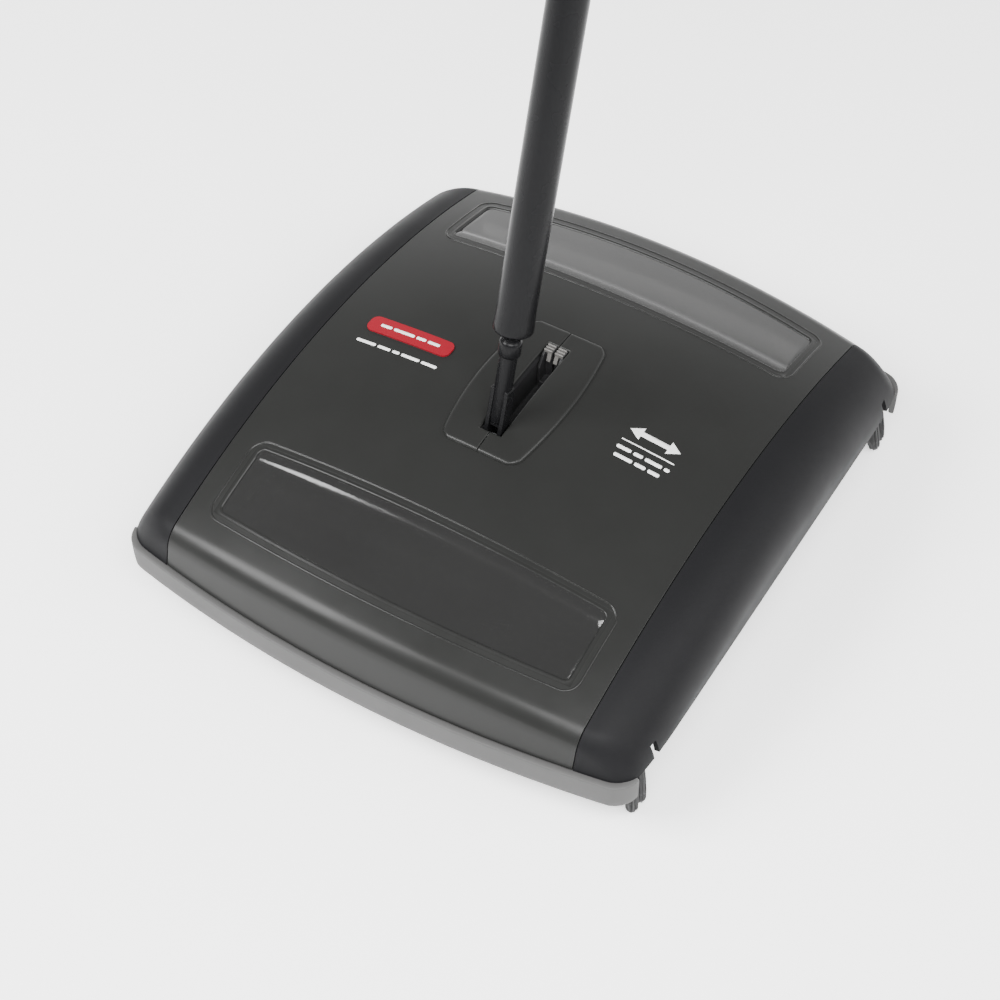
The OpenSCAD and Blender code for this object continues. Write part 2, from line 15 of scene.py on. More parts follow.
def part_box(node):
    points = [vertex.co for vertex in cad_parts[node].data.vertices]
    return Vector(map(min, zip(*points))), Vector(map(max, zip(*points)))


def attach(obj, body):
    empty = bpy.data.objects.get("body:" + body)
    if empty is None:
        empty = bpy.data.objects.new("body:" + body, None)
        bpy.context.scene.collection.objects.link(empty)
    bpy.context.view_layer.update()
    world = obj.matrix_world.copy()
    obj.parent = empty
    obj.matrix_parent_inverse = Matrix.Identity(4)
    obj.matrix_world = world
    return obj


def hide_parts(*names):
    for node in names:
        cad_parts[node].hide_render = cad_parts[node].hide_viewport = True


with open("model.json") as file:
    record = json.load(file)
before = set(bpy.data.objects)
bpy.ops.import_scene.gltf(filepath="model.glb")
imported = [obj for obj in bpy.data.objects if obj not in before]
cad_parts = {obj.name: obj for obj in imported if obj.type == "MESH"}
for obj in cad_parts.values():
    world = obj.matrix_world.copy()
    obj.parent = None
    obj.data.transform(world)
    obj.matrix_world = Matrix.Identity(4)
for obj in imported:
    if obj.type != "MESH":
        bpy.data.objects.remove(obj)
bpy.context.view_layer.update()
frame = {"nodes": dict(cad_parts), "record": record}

MM = 0.001


# ---------------------------------------------------------------- sizes taken from the frame

def box_mm(node):
    """Lowest and highest corner of a CAD node, in millimetres."""
    low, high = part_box(node)
    return np.array(low) / MM, np.array(high) / MM


cap_low, cap_high = box_mm("right_side_cap")
cover_low, cover_high = box_mm("top_cover")
bumper_low, bumper_high = box_mm("front_bumper")
rim_low, rim_high = box_mm("front_window_rim")
panel_high = box_mm("right_pivot_panel")[1]
catch_low, catch_high = box_mm("handle_catch")
badge_low, badge_high = box_mm("badge")

HALF_W = cap_high[0]                 # half of the body's width
TOP_Z = cover_high[2]                # highest point of the cover
SKIRT_Z = cover_low[2]               # lower edge of the cover and caps
SEAM_X = (cover_high[0] + cap_low[0]) / 2
FOOT_L = -cover_low[1]               # half of the cover's length at its foot
BUMPER_L = -bumper_low[1]
BUMPER_Z = bumper_low[2]

ARCH_R = 370.0                       # arch of the cover, seen from the side
CROWN_R = 613.0                      # crown of the cover, seen from the front
SHOULDER_R = 25.0                    # rolled shoulder along each side
BOW_R = 600.0                        # bow of the ends, seen from above
LEAN = 0.24                          # how far the end faces lean in, per unit of height
RIDGE_R = 5.0                        # soft roll from the top to an end face
CORNER_R = 8.0                       # rounding of the corners, seen from above
WALL = 2.2                           # wall of the mouldings
GAP = 0.14                           # half of the seam between cover and cap

joint_by_name = {j["name"]: j for j in frame["record"]["behaviour"]["joints"]}
mount_by_name = {m["name"]: m for m in frame["record"]["mounts"]}
pivot = np.array(joint_by_name["handle_tilt"]["pos_m"]) / MM
hang = np.array(mount_by_name["hang_hole"]["pos_m"]) / MM
handle_len = float(np.linalg.norm(hang - pivot))
handle_dir = (hang - pivot) / handle_len


# ---------------------------------------------------------------- the body's surface as a field

def soft_max(a, b, radius):
    """The larger of two distances, with the corner between them rounded to a radius."""
    u = np.maximum(a + radius, 0.0)
    v = np.maximum(b + radius, 0.0)
    return np.minimum(np.maximum(a, b), -radius) + np.hypot(u, v)


def barrel_field(x, y, z):
    """Distance from the arched, crowned and shouldered surface, negative inside."""
    r = np.hypot(y, z - (TOP_Z - ARCH_R))
    ax = np.abs(x)
    crown_c = ARCH_R - CROWN_R
    reach = CROWN_R - SHOULDER_R
    cx = HALF_W - SHOULDER_R
    cr = crown_c + math.sqrt(reach * reach - cx * cx)
    on_crown = ax * (cr - crown_c) < cx * (r - crown_c)
    crown = np.hypot(ax, r - crown_c) - CROWN_R
    shoulder = np.where(r > cr, np.hypot(ax - cx, r - cr) - SHOULDER_R, ax - HALF_W)
    return np.where(on_crown, crown, shoulder)


def end_field(x, y, z):
    """Distance from the bowed, leaning end face at the front (use -y for the rear)."""
    radius = BOW_R - (z - SKIRT_Z) * LEAN
    return (np.hypot(x, y - (BOW_R - FOOT_L)) - radius) / math.hypot(1.0, LEAN)


def body_field(p):
    x, y, z = p[..., 0], p[..., 1], p[..., 2]
    ends = np.maximum(end_field(x, y, z), end_field(x, -y, z))
    t = np.clip((np.abs(x) - 98.0) / 16.0, 0.0, 1.0)
    return soft_max(barrel_field(x, y, z), ends, RIDGE_R + (CORNER_R - RIDGE_R) * t * t * (3 - 2 * t))


def cast(origin, direction, far=260.0, field=body_field):
    """Where rays from inside the body meet its surface."""
    origin = np.asarray(origin, float)
    d = np.asarray(direction, float)
    d = d / np.linalg.norm(d, axis=-1, keepdims=True)
    low = np.zeros(np.broadcast(origin[..., 0], d[..., 0]).shape)
    high = np.full_like(low, far)
    for _ in range(46):
        mid = (low + high) / 2
        outside = field(origin + d * mid[..., None]) > 0
        high = np.where(outside, mid, high)
        low = np.where(outside, low, mid)
    return origin + d * low[..., None]


def on_top(x, y, raised=0.0):
    """Points on the top surface above plan points, raised along the surface normal."""
    x, y = np.broadcast_arrays(np.asarray(x, float), np.asarray(y, float))
    start = np.stack([x, y, np.full_like(x, 20.0)], -1)
    p = cast(start, np.broadcast_to([0.0, 0.0, 1.0], start.shape))
    return p + surface_normal(p) * np.asarray(raised, float)[..., None]


def surface_normal(p):
    step = 0.05
    n = np.stack([body_field(p + e) - body_field(p - e) for e in np.eye(3) * step], -1)
    return n / np.linalg.norm(n, axis=-1, keepdims=True)


# ---------------------------------------------------------------- mesh helpers

def new_object(name, verts_mm, faces, smooth=True, merge=0.004):
    """An object from points in millimetres and faces by index."""
    mesh = bpy.data.meshes.new(name)
    mesh.from_pydata((np.asarray(verts_mm, float) * MM).tolist(), [], [list(f) for f in faces])
    bm = bmesh.new()
    bm.from_mesh(mesh)
    bmesh.ops.remove_doubles(bm, verts=bm.verts, dist=merge * MM)
    bmesh.ops.dissolve_degenerate(bm, edges=bm.edges, dist=merge * MM)
    bmesh.ops.recalc_face_normals(bm, faces=bm.faces)
    bm.to_mesh(mesh)
    bm.free()
    if smooth:
        mesh.shade_smooth()
    obj = bpy.data.objects.new(name, mesh)
    bpy.context.scene.collection.objects.link(obj)
    return obj


def face_up(obj, centre=(0.0, 0.0, 0.0)):
    """Turns an open shell's faces to look away from a centre."""
    bm = bmesh.new()
    bm.from_mesh(obj.data)
    centre = Vector(centre) * MM
    bm.normal_update()
    total = sum((f.calc_center_median() - centre).dot(f.normal) * f.calc_area() for f in bm.faces)
    if total < 0:
        bmesh.ops.reverse_faces(bm, faces=bm.faces)
    bm.to_mesh(obj.data)
    bm.free()


def grid_faces(rows, cols, keep=None, wrap_rows=False, wrap_cols=False):
    """Quads of a grid of points, with rows * cols vertices."""
    faces = []
    for i in range(rows if wrap_rows else rows - 1):
        for j in range(cols if wrap_cols else cols - 1):
            if keep is not None and not keep[i, j]:
                continue
            a, b = (i + 1) % rows, (j + 1) % cols
            faces.append((i * cols + j, a * cols + j, a * cols + b, i * cols + b))
    return faces


def tube_mesh(rings, closed=True, caps=True):
    """Vertices and faces of a skin over rings of equal length."""
    rings = np.asarray(rings)
    rows, cols = rings.shape[:2]
    faces = grid_faces(rows, cols, wrap_cols=closed)
    if caps:
        faces.append(tuple(range(cols)))
        faces.append(tuple((rows - 1) * cols + j for j in reversed(range(cols))))
    return rings.reshape(-1, 3), faces


def solidify(obj, thickness, offset=-1.0):
    m = obj.modifiers.new("wall", "SOLIDIFY")
    m.thickness = thickness * MM
    m.offset = offset
    m.use_even_offset = True
    return obj


def round_edges(obj, width, segments=2, angle=35):
    m = obj.modifiers.new("edges", "BEVEL")
    m.width = width * MM
    m.segments = segments
    m.limit_method = "ANGLE"
    m.angle_limit = math.radians(angle)
    m.harden_normals = True
    m.use_clamp_overlap = True
    return obj


def bake(obj):
    """Applies an object's modifiers."""
    deps = bpy.context.evaluated_depsgraph_get()
    mesh = bpy.data.meshes.new_from_object(obj.evaluated_get(deps))
    obj.modifiers.clear()
    obj.data = mesh
    return obj


def join(name, parts):
    """One object from several."""
    bpy.context.view_layer.update()
    bm = bmesh.new()
    for part in parts:
        bake(part)
        bm.from_mesh(part.data)
        bpy.data.objects.remove(part)
    mesh = bpy.data.meshes.new(name)
    bm.to_mesh(mesh)
    bm.free()
    mesh.shade_smooth()
    obj = bpy.data.objects.new(name, mesh)
    bpy.context.scene.collection.objects.link(obj)
    return obj


def finish_piece(obj, body, slot, material, *nodes):
    """Puts a piece on its body, in its material, in place of CAD nodes."""
    obj.data.materials.clear()
    obj.data.materials.append(material)
    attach(obj, body)
    if nodes:
        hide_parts(*nodes)
    return obj


def lathe(name, profile, segments=64):
    """A turned piece on the handle's line. The profile is (radius, distance from the pivot)."""
    side = np.array([1.0, 0.0, 0.0])
    back = np.cross(handle_dir, side)
    rings = []
    for k in range(segments):
        a = 2 * math.pi * k / segments
        radial = side * math.cos(a) + back * math.sin(a)
        rings.append([pivot + handle_dir * s + radial * r for r, s in profile])
    rings = np.array(rings)
    rows, cols = rings.shape[:2]
    return new_object(name, rings.reshape(-1, 3), grid_faces(rows, cols, wrap_rows=True))


def arc(cx, cy, radius, start, end, count):
    """Points on an arc, in degrees."""
    return [(cx + radius * math.cos(math.radians(a)), cy + radius * math.sin(math.radians(a)))
            for a in np.linspace(start, end, count)]


# ---------------------------------------------------------------- materials

class Nodes:
    """Short names for building a node tree."""

    def __init__(self, name):
        self.material = bpy.data.materials.new(name)
        self.material.use_nodes = True
        self.tree = self.material.node_tree
        self.shader = self.tree.nodes["Principled BSDF"]
        self.coords = self.tree.nodes.new("ShaderNodeTexCoord").outputs["Object"]

    def link(self, a, b):
        self.tree.links.new(a, b)

    def noise(self, scale, detail=3.0, rough=0.55, stretch=None):
        node = self.tree.nodes.new("ShaderNodeTexNoise")
        node.inputs["Scale"].default_value = scale
        node.inputs["Detail"].default_value = detail
        node.inputs["Roughness"].default_value = rough
        source = self.coords
        if stretch:
            mapping = self.tree.nodes.new("ShaderNodeMapping")
            mapping.inputs["Scale"].default_value = stretch
            self.link(self.coords, mapping.inputs["Vector"])
            source = mapping.outputs["Vector"]
        self.link(source, node.inputs["Vector"])
        return node.outputs["Fac"]

    def spread(self, value, low, high, from_low=0.3, from_high=0.7):
        node = self.tree.nodes.new("ShaderNodeMapRange")
        node.inputs["From Min"].default_value = from_low
        node.inputs["From Max"].default_value = from_high
        node.inputs["To Min"].default_value = low
        node.inputs["To Max"].default_value = high
        self.link(value, node.inputs["Value"])
        return node.outputs["Result"]

    def mix(self, factor, a, b):
        node = self.tree.nodes.new("ShaderNodeMix")
        node.data_type = "RGBA"
        for socket, value in ((node.inputs["Factor"], factor), (node.inputs["A"], a), (node.inputs["B"], b)):
            if isinstance(value, (tuple, list, float, int)):
                socket.default_value = value
            else:
                self.link(value, socket)
        return node.outputs["Result"]

    def bump(self, height, strength, distance, after=None):
        node = self.tree.nodes.new("ShaderNodeBump")
        node.inputs["Strength"].default_value = strength
        node.inputs["Distance"].default_value = distance
        self.link(height, node.inputs["Height"])
        if after is not None:
            self.link(after, node.inputs["Normal"])
        return node.outputs["Normal"]

    def edges(self, low=0.52, high=0.60):
        geometry = self.tree.nodes.new("ShaderNodeNewGeometry")
        return self.spread(geometry.outputs["Pointiness"], 0.0, 1.0, low, high)


def shade(colour, factor):
    return tuple(min(1.0, c * factor) for c in colour[:3]) + (1.0,)


def moulding(name, colour, rough, grain=1400.0, grain_depth=0.02, vary=0.10, wear=0.35, specular=0.5,
             coat=0.0, coat_rough=0.1, metallic=0.0, stretch=None, wavy=0.10):
    """Moulded plastic, rubber, paint or metal: tone and gloss that vary, a fine grain, and paler edges."""
    n = Nodes(name)
    tone = n.mix(n.spread(n.noise(22.0, 4.0), 0.0, 1.0), shade(colour, 1 - vary), shade(colour, 1 + vary))
    speck = n.spread(n.noise(grain * 0.45, 2.0, stretch=stretch), 0.0, 0.35, 0.45, 0.75)
    tone = n.mix(speck, tone, shade(colour, 1 + 2.2 * vary))
    worn = n.tree.nodes.new("ShaderNodeMath")
    worn.operation = "MULTIPLY"
    worn.inputs[1].default_value = wear
    n.link(n.edges(), worn.inputs[0])
    pale = tuple(min(1.0, c * 1.9 + 0.02) for c in colour[:3]) + (1.0,)
    n.link(n.mix(worn.outputs[0], tone, pale), n.shader.inputs["Base Color"])
    uneven = n.spread(n.noise(60.0, 3.0, stretch=stretch), rough - 0.025, rough + 0.035)
    n.link(uneven, n.shader.inputs["Roughness"])
    fine = n.bump(n.noise(grain, 3.0, 0.6, stretch), 0.35, grain_depth * MM)
    wave = n.bump(n.noise(14.0, 1.0), 0.25, wavy * MM, fine)
    n.link(wave, n.shader.inputs["Normal"])
    n.shader.inputs["Specular IOR Level"].default_value = specular
    n.shader.inputs["Coat Weight"].default_value = coat
    n.shader.inputs["Coat Roughness"].default_value = coat_rough
    n.shader.inputs["Metallic"].default_value = metallic
    return n.material


def clear_panel(name, colour, rough):
    """Clear moulded window: smoked tint, faint waviness, fine rub marks along its length."""
    n = Nodes(name)
    n.link(n.mix(n.spread(n.noise(18.0, 2.0), 0.0, 1.0), shade(colour, 0.92), shade(colour, 1.06)),
           n.shader.inputs["Base Color"])
    rubs = n.spread(n.noise(260.0, 4.0, stretch=(0.05, 1.0, 1.0)), rough, rough + 0.10, 0.45, 0.8)
    n.link(rubs, n.shader.inputs["Roughness"])
    n.link(n.bump(n.noise(9.0, 1.0), 0.2, 0.12 * MM), n.shader.inputs["Normal"])
    n.shader.inputs["Transmission Weight"].default_value = 0.82
    n.shader.inputs["IOR"].default_value = 1.49
    n.shader.inputs["Specular IOR Level"].default_value = 0.3
    return n.material


CHARCOAL = (0.0112, 0.0114, 0.0109)
BLACK = (0.0066, 0.0066, 0.0072)
GREY = (0.054, 0.0535, 0.053)

mat_cover = moulding("cover_charcoal", CHARCOAL, 0.31, grain=1900, grain_depth=0.004, vary=0.03, wear=0.0,
                     specular=0.16)
mat_cap = moulding("cap_black", BLACK, 0.50, grain=1500, grain_depth=0.008, vary=0.04, wear=0.0, specular=0.07)
mat_bumper = moulding("bumper_grey", GREY, 0.60, grain=900, grain_depth=0.02, vary=0.04, wear=0.9, specular=0.22)
mat_rim = moulding("rim_gloss", CHARCOAL, 0.24, grain=2200, grain_depth=0.003, vary=0.03, wear=0.10, specular=0.20)
mat_panel = moulding("panel_charcoal", CHARCOAL, 0.30, grain=1900, grain_depth=0.004, vary=0.03, wear=0.22,
                     specular=0.17)
mat_catch = moulding("catch_grey", (0.055, 0.053, 0.050), 0.42, grain=1200, grain_depth=0.01, vary=0.08, wear=0.5)
mat_inner = moulding("inner_black", (0.010, 0.010, 0.0105), 0.50, grain=1300, grain_depth=0.015, vary=0.14,
                     specular=0.3)
mat_steel = moulding("steel_bright", (0.42, 0.43, 0.44), 0.28, grain=1700, grain_depth=0.004, vary=0.08,
                     wear=0.2, metallic=1.0, stretch=(0.06, 1.0, 1.0))
mat_plate = moulding("steel_plated", (0.34, 0.35, 0.37), 0.36, grain=1200, grain_depth=0.006, vary=0.14,
                     wear=0.2, metallic=1.0)
mat_nylon = moulding("nylon_natural", (0.55, 0.53, 0.46), 0.46, grain=900, vary=0.05, wear=0.1)
mat_badge = moulding("badge_red", (0.16, 0.0035, 0.010), 0.34, grain=1600, grain_depth=0.004, vary=0.03, wear=0.05,
                     specular=0.2)
mat_print = moulding("print_white", (0.60, 0.60, 0.59), 0.50, grain=1600, grain_depth=0.004, vary=0.03, wear=0.0)
mat_bristle = moulding("bristle_black", (0.012, 0.012, 0.0125), 0.52, grain=2500, vary=0.25, wear=0.2,
                       specular=0.3)
mat_handle = moulding("handle_black", (0.0042, 0.0042, 0.0046), 0.26, grain=2000, grain_depth=0.002, vary=0.04,
                      wear=0.06, specular=0.09, wavy=0.01)
mat_tube = moulding("tube_enamel", (0.0042, 0.0042, 0.0046), 0.24, grain=2600, grain_depth=0.002, vary=0.04,
                    wear=0.05, specular=0.09, coat=0.03, coat_rough=0.12, wavy=0.01)
mat_joiner = moulding("joiner_black", (0.014, 0.014, 0.0145), 0.45, grain_depth=0.008, vary=0.08)
mat_grip = moulding("grip_foam", (0.012, 0.012, 0.0125), 0.78, grain=1100, grain_depth=0.12, vary=0.16,
                    specular=0.25)
mat_rubber = moulding("rubber_black", (0.013, 0.013, 0.013), 0.66, grain=1100, grain_depth=0.04, vary=0.16,
                      specular=0.3)
mat_core = moulding("core_grey", (0.035, 0.035, 0.037), 0.48, grain=1300, vary=0.1)
mat_hub = moulding("hub_grey", (0.065, 0.065, 0.068), 0.45, grain=1300, vary=0.1)
mat_pan = moulding("pan_grey", (0.016, 0.016, 0.0165), 0.42, grain=1000, grain_depth=0.02, vary=0.16, wear=0.6,
                   specular=0.4)
mat_clear = clear_panel("window_clear", (0.060, 0.060, 0.059), 0.10)


# ---------------------------------------------------------------- outlines on the cover

WINDOW_HALF = rim_high[0] - 0.3      # half width of a window over its bezel
WINDOW_IN = -rim_high[1] - 0.3       # near edge
WINDOW_OUT = -rim_low[1]             # far edge on the centre line
WINDOW_R = 7.0


def window_far(x):
    """Distance of the window's bowed far edge from the middle."""
    return WINDOW_OUT - (BOW_R - np.sqrt(BOW_R ** 2 - np.asarray(x, float) ** 2))


def spaced(points, counts):
    """Values that pass through given points, with a count of steps between each pair."""
    out = [points[0]]
    for a, b, n in zip(points, points[1:], counts):
        out += [a + (b - a) * k / n for k in range(1, n + 1)]
    return np.array(out)


HOLE = 2.6                           # how far an opening's edge hides below its bezel
hole_half = WINDOW_HALF - HOLE
panel_half = 11.0
panel_len = panel_high[1] - 4.0


def cross_section(x):
    """Points over the body at one x, from the front foot to the rear foot."""
    far = float(window_far(min(abs(x), 96.0)))
    far_hole = far - HOLE
    last = far + 2.2
    half = spaced([0.0, panel_len, WINDOW_IN + HOLE, far_hole, last], [7, 7, 9, 2])
    ys = np.concatenate([-half[::-1], half[1:]])
    top = on_top(np.full_like(ys, x), ys)
    fan = end_fan(x, last)
    return np.concatenate([fan, top[1:-1], (fan * [1, -1, 1])[::-1]])


FAN = 22


def end_fan(x, last):
    """Points from the foot of the front face up over the ridge to the top."""
    centre = np.array([x, -last, 14.0])
    foot = cast(np.array([x, 0.0, SKIRT_Z]), np.array([0.0, -1.0, 0.0]))
    down = foot - centre
    low = math.atan2(down[2], -down[1])
    t = np.linspace(0, 1, FAN)
    angle = low + (math.pi / 2 - low) * t
    d = np.stack([np.zeros(FAN), -np.cos(angle), np.sin(angle)], -1)
    return cast(np.broadcast_to(centre, (FAN, 3)), d)


# ---------------------------------------------------------------- cover

x_lines = spaced([-(SEAM_X - GAP), -hole_half, -panel_half, panel_half, hole_half, SEAM_X - GAP],
                 [5, 22, 6, 22, 5])
sections = np.array([cross_section(x) for x in x_lines])
mid_x = (x_lines[:-1] + x_lines[1:]) / 2
mid_y = (sections[:-1, :-1, 1] + sections[1:, 1:, 1]) / 2
in_window = ((np.abs(mid_x)[:, None] < hole_half) & (np.abs(mid_y) > WINDOW_IN + HOLE)
             & (np.abs(mid_y) < window_far(mid_x)[:, None] - HOLE))
in_panel = (np.abs(mid_x)[:, None] < panel_half) & (np.abs(mid_y) < panel_len)
cover = new_object("cover_shell", sections.reshape(-1, 3),
                   grid_faces(*sections.shape[:2], keep=~(in_window | in_panel)))
face_up(cover)
solidify(cover, WALL)
round_edges(cover, 0.35)
finish_piece(cover, "housing", "cover_plastic", mat_cover, "top_cover")


# ---------------------------------------------------------------- side caps

def cap_ribs(side):
    """Ribs from the seam, over the shoulder, down to the skirt, from front to rear."""
    x0 = SEAM_X + GAP
    seam = cross_section(x0)
    count = len(seam)
    corner = np.array([x0 - 6.0, -99.0, SKIRT_Z])
    feet = np.zeros_like(seam)
    spines = np.zeros_like(seam)
    for k in range(count):
        mirror = k >= count / 2
        j = count - 1 - k if mirror else k
        y = min(-seam[j][1], 106.0) * 99.0 / 106.0
        if j < FAN:
            t = j / (FAN - 1)
            turn = -math.pi / 2 * (1 - t) ** 1.15
            start = corner + np.array([6.0 * (1 - t) ** 2, 0.0, 0.0])
            foot = cast(start, np.array([math.cos(turn), math.sin(turn), 0.0]))
            spine = np.array([x0 - 5.0, -97.0, 24.0])
        else:
            foot = cast(np.array([x0 - 6.0, -y, SKIRT_Z]), np.array([1.0, 0.0, 0.0]))
            spine = np.array([x0 - 5.0, -y, 24.0])
        flip = np.array([1.0, -1.0, 1.0]) if mirror else np.ones(3)
        feet[k] = foot * flip
        spines[k] = spine * flip
    s = np.linspace(0, 1, 26)[None, :, None]
    d0 = (seam - spines)[:, None, :]
    d1 = (feet - spines)[:, None, :]
    d0 = d0 / np.linalg.norm(d0, axis=-1, keepdims=True)
    d1 = d1 / np.linalg.norm(d1, axis=-1, keepdims=True)
    ribs = cast(np.broadcast_to(spines[:, None, :], (count, 26, 3)), d0 * (1 - s) + d1 * s)
    return ribs * np.array([side, 1.0, 1.0])


def block(name, low, high):
    """A plain block used only to cut with."""
    l, h = np.array(low, float), np.array(high, float)
    verts = [[(l, h)[i][0], (l, h)[j][1], (l, h)[k][2]] for i in (0, 1) for j in (0, 1) for k in (0, 1)]
    faces = [(0, 1, 3, 2), (4, 6, 7, 5), (0, 4, 5, 1), (2, 3, 7, 6), (0, 2, 6, 4), (1, 5, 7, 3)]
    return new_object(name, verts, faces, smooth=False)


NOTCH_Y = 102.2
NOTCH_W = 3.4
for side, name in ((-1, "left"), (1, "right")):
    ribs = cap_ribs(side)
    cap = new_object(name + "_cap_shell", ribs.reshape(-1, 3), grid_faces(*ribs.shape[:2]), merge=0.02)
    face_up(cap, (side * 60, 0, 0))
    solidify(cap, WALL)
    bake(cap)
    for end in (-1, 1):
        x_span = sorted((side * 112.0, side * 126.0))
        cutter = block("cutter", [x_span[0], end * NOTCH_Y - NOTCH_W / 2, SKIRT_Z - 4],
                       [x_span[1], end * NOTCH_Y + NOTCH_W / 2, SKIRT_Z + 6.5])
        cut = cap.modifiers.new("notch", "BOOLEAN")
        cut.object = cutter
        cut.solver = "EXACT"
        bake(cap)
        bpy.data.objects.remove(cutter)
    round_edges(cap, 0.35)
    finish_piece(cap, "housing", "cap_plastic", mat_cap, name + "_side_cap")


# strip inside each seam, as the cap's flange in the frame
for side, name in ((-1, "left"), (1, "right")):
    lines = np.array([cross_section(x) for x in (SEAM_X - 1.4, SEAM_X + 0.8, SEAM_X + 3.0)])
    inside = lines - surface_normal(lines) * (WALL + 0.12)
    strip = new_object(name + "_seam_strip", (inside * [side, 1, 1]).reshape(-1, 3), grid_faces(*inside.shape[:2]))
    face_up(strip)
    solidify(strip, 0.7)
    finish_piece(strip, "housing", "cap_plastic", mat_cap)


# ---------------------------------------------------------------- bumpers

BUMPER_HALF = bumper_high[0] + 0.9   # outer face at the wrapped corner
BUMPER_R = 9.0


def bumper_field(p):
    """Distance from the bumper's outer outline in plan."""
    x, y = p[..., 0], p[..., 1]
    bow = np.hypot(x, y - (BOW_R - BUMPER_L)) - BOW_R
    return soft_max(bow, np.abs(x) - BUMPER_HALF, BUMPER_R)


def bumper_path():
    """Plan points and outward normals from one wrapped corner to the other."""
    edge = BUMPER_HALF - BUMPER_R
    points = []
    for a in np.radians(np.linspace(-39, -86, 16)):
        points.append(cast([edge, -108.0, 0.0], [math.cos(a), math.sin(a), 0.0], field=bumper_field))
    for x in np.linspace(edge - 1.0, -(edge - 1.0), 60):
        points.append(cast([x, -100.0, 0.0], [0.0, -1.0, 0.0], field=bumper_field))
    for a in np.radians(np.linspace(-94, -141, 16)):
        points.append(cast([-edge, -108.0, 0.0], [math.cos(a), math.sin(a), 0.0], field=bumper_field))
    points = np.array(points)
    step = 0.05
    n = np.stack([bumper_field(points + e) - bumper_field(points - e) for e in np.eye(3)[:2] * step], -1)
    n = n / np.linalg.norm(n, axis=-1, keepdims=True)
    return points, np.concatenate([n, np.zeros((len(n), 1))], -1)


def bumper_profile():
    """Closed cross-section as (outwards, height): a wall with a rolled top that tucks under the cover."""
    low, top = BUMPER_Z, SKIRT_Z
    outline = arc(-1.0, low + 0.8, 0.8, 260, 350, 6)
    outline += [(-0.1, low + 3.0), (0.0, low + 6.0), (0.0, top - 1.2)]
    outline += arc(-0.7, top - 0.7, 0.7, 5, 85, 6)
    outline += [(-2.5, top - 0.02), (-2.9, top - 0.3), (-8.2, top - 0.3)]
    outline += [(-8.2, top - 2.2), (-3.4, top - 2.6), (-2.6, top - 4.0), (-2.6, low + 0.6), (-2.2, low)]
    return outline


path, outward = bumper_path()
section = bumper_profile()
rings = np.array([[p * [1, 1, 0] + n * o + [0, 0, z] for o, z in section] for p, n in zip(path, outward)])
for end, name in ((1, "front"), (-1, "rear")):
    verts, faces = tube_mesh(rings * [1, end, 1])
    bumper = new_object(name + "_bumper_strip", verts, faces)
    round_edges(bumper, 0.25, 2, 50)
    finish_piece(bumper, "housing", "bumper_vinyl", mat_bumper, name + "_bumper")


# ---------------------------------------------------------------- windows

def window_path(inset):
    """Closed plan path of the front window's edge, moved inwards, with outward normals."""
    half = WINDOW_HALF - inset
    near = WINDOW_IN + inset
    r = WINDOW_R - inset
    points, normals = [], []

    def add(x, y, nx, ny):
        points.append((x, y))
        normals.append((nx, ny))

    def corner(cx, cy, start, end):
        for a in np.radians(np.linspace(start, end, 10)):
            add(cx + r * math.cos(a), cy + r * math.sin(a), math.cos(a), math.sin(a))

    xs = np.linspace(-(half - r), half - r, 34)
    for x in xs[1:-1]:
        add(x, -near, 0.0, 1.0)
    corner(half - r, -near - r, 90, 0)
    far_corner = float(window_far(half - r)) - inset - r
    for y in np.linspace(-near - r, -far_corner, 12)[1:-1]:
        add(half, y, 1.0, 0.0)
    tilt = math.degrees(math.asin((half - r) / BOW_R))
    corner(half - r, -far_corner, 0, -90 + tilt)
    for x in xs[::-1][1:-1]:
        slope = x / BOW_R
        add(x, -(float(window_far(x)) - inset), slope, -math.sqrt(1 - slope * slope))
    corner(-(half - r), -far_corner, -90 - tilt, -180)
    for y in np.linspace(-far_corner, -near - r, 12)[1:-1]:
        add(-half, y, -1.0, 0.0)
    corner(-(half - r), -near - r, 180, 90)
    return np.array(points), np.array(normals)


# section of a window bezel, as (outwards, height): one fine bead, then a flat land down to the pane
BEAD = [(1.45, -0.5), (1.4, -0.02)] + [(0.95 + 0.4 * math.cos(a), 0.03 + 0.24 * math.sin(a))
                                       for a in np.radians(np.linspace(10, 170, 7))]
BEAD += [(0.3, -0.04), (-2.2, -0.04), (-2.6, 0.03), (-2.9, 0.0), (-3.1, -0.2), (-3.5, -0.6), (-3.6, -1.9),
         (1.45, -1.9)]

plan, normals = window_path(0.9)
bead_rings = []
for o, h in BEAD:
    q = plan + normals * o
    bead_rings.append(on_top(q[:, 0], q[:, 1], np.full(len(q), h)))
bead_rings = np.array(bead_rings)
pane_x = np.linspace(-(hole_half + 0.6), hole_half + 0.6, 40)
step_y = WINDOW_IN + 8.4             # the pane steps down along this line
pane_y = [spaced([WINDOW_IN + HOLE - 0.6, step_y - 0.3, step_y + 0.3, float(window_far(x)) - HOLE + 0.6],
                 [3, 1, 12]) for x in pane_x]
pane_points = np.array([on_top(np.full(17, x), -ys, np.where(ys < step_y, -0.3, -0.6))
                        for x, ys in zip(pane_x, pane_y)])
for end, name in ((1, "front"), (-1, "rear")):
    rows, cols = bead_rings.shape[:2]
    rim = new_object(name + "_window_bezel", (bead_rings * [1, end, 1]).reshape(-1, 3),
                     grid_faces(rows, cols, wrap_rows=True, wrap_cols=True))
    finish_piece(rim, "housing", "rim_plastic", mat_rim, name + "_window_rim")
    pane = new_object(name + "_window_pane", (pane_points * [1, end, 1]).reshape(-1, 3),
                      grid_faces(*pane_points.shape[:2]))
    face_up(pane)
    solidify(pane, 1.4)
    finish_piece(pane, "housing", "window_clear", mat_clear, name + "_window")


# ---------------------------------------------------------------- middle panel with the handle slot

